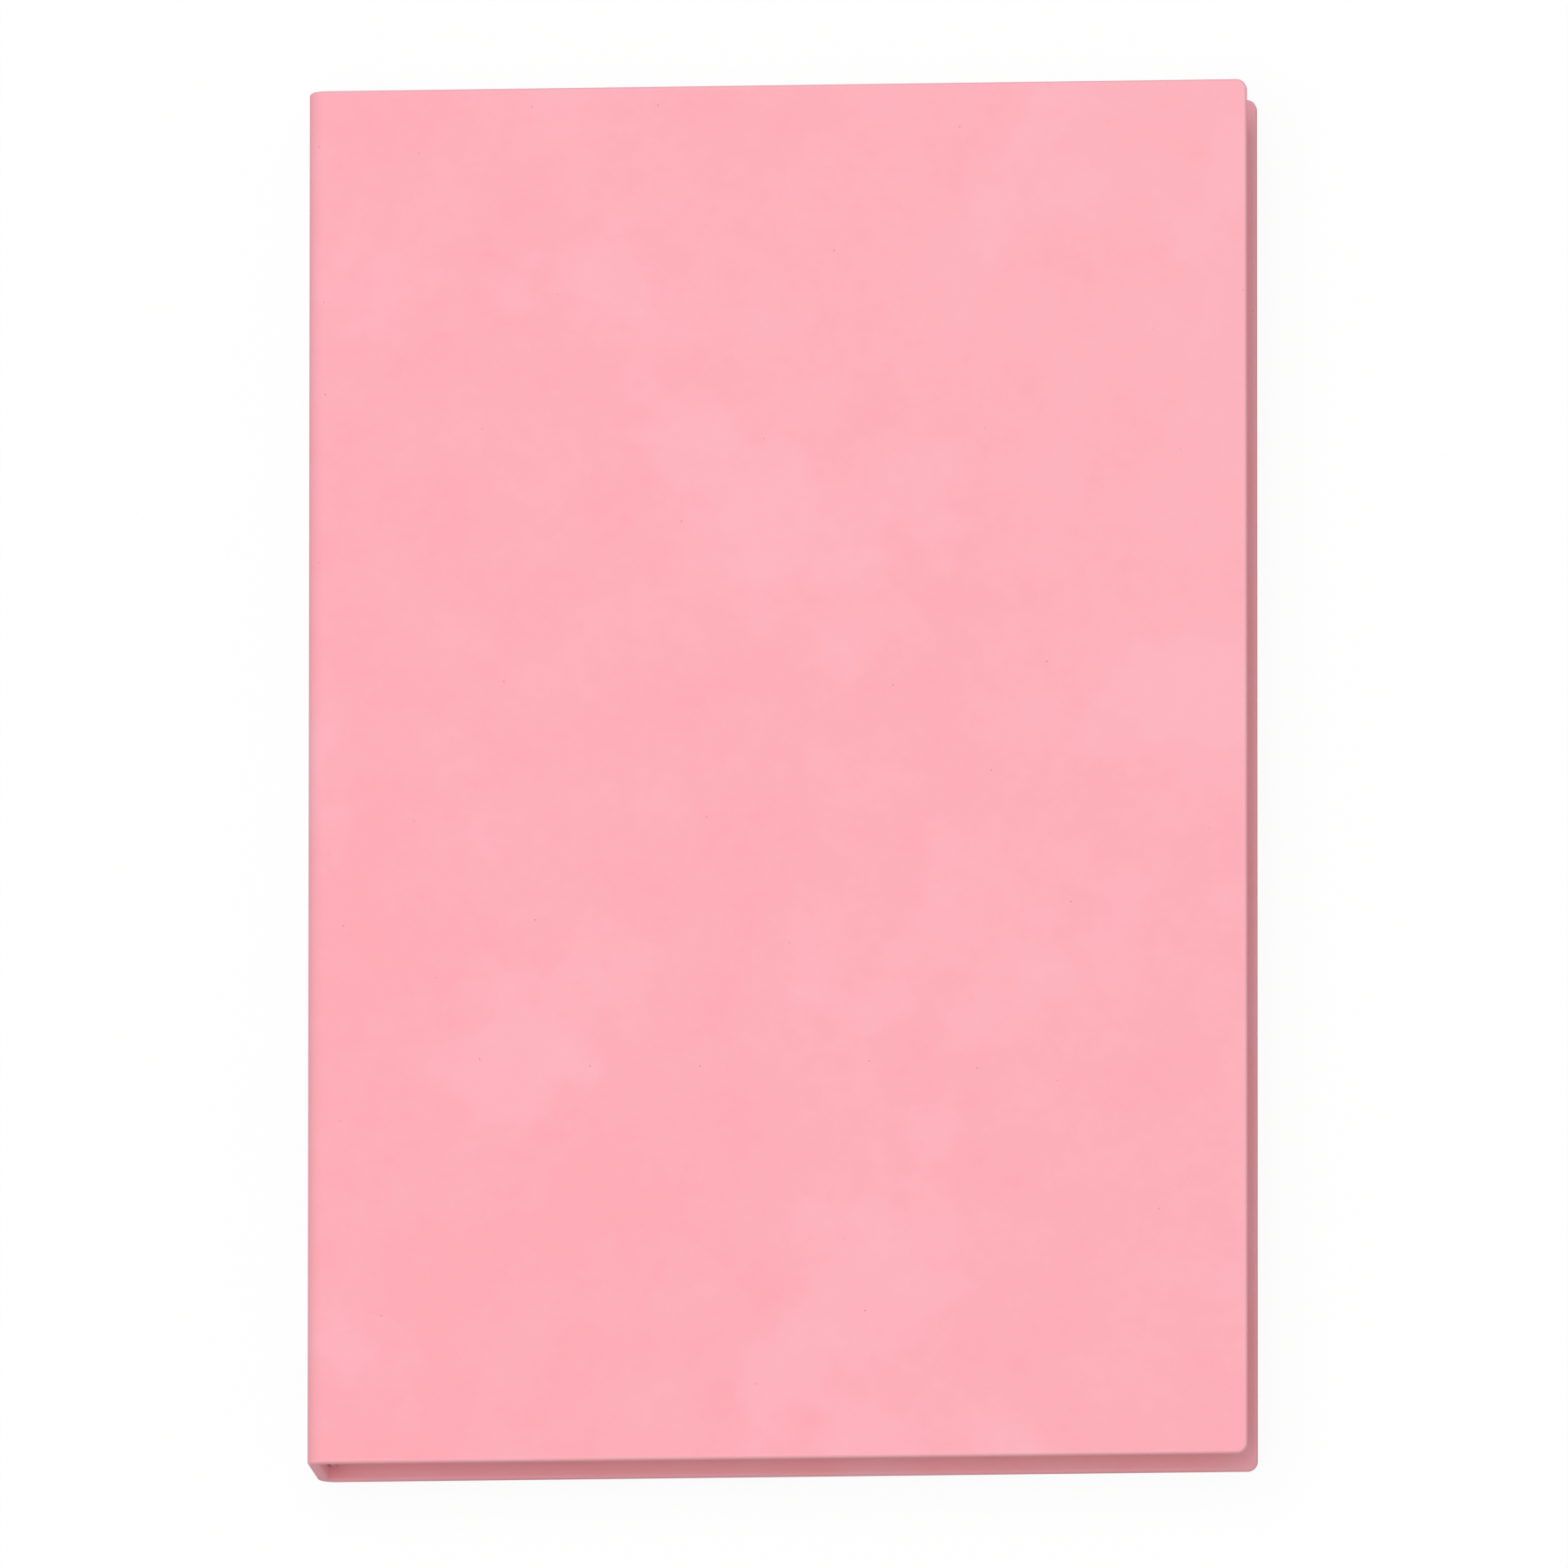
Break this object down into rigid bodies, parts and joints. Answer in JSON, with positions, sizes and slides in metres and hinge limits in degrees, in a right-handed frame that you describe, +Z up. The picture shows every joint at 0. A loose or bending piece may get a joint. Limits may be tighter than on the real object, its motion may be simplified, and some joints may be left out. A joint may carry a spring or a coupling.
{
  "type": "notebook",
  "caption": "Flat-spined notebook in one soft leather turned in over card covers, with sewn leaves, endpapers, and head and tail bands; each cover opens on its spine fold.",
  "frame": {"origin": "middle of the back cover's outer face, on which the closed notebook lies", "axes": "+X from the spine to the fore-edge, +Y from the tail to the head, +Z up through the leaves to the front cover"},
  "size_m": [0.146, 0.215, 0.022],
  "materials": {
    "leather": "matt, fine grain, softly mottled pink",
    "card": "grey board",
    "leaves": "uncoated cream writing paper",
    "endpaper": "heavier uncoated ivory paper",
    "lining": "open-weave starched cotton",
    "band": "wound thread"
  },
  "bodies": {
    "block": {"page_block": "leaves", "front_flyleaf": "endpaper", "back_flyleaf": "endpaper", "spine_lining": "lining", "head_band": "band", "tail_band": "band", "spine_card": "card", "spine_leather": "leather"},
    "front_cover": {"front_leather": "leather", "front_card": "card", "front_lining_flap": "lining", "front_pastedown": "endpaper"},
    "back_cover": {"back_leather": "leather", "back_card": "card", "back_lining_flap": "lining", "back_pastedown": "endpaper"}
  },
  "joints": [
    {"name": "front_cover_hinge", "type": "hinge", "parent": "block", "child": "front_cover", "pos_m": [-0.07212, 0, 0.02112], "axis": [0, -1, 0], "range_deg": [0, 179.9]},
    {"name": "back_cover_hinge", "type": "hinge", "parent": "block", "child": "back_cover", "pos_m": [-0.07212, 0, 0.00088], "axis": [0, 1, 0], "range_deg": [0, 179.9]}
  ]
}
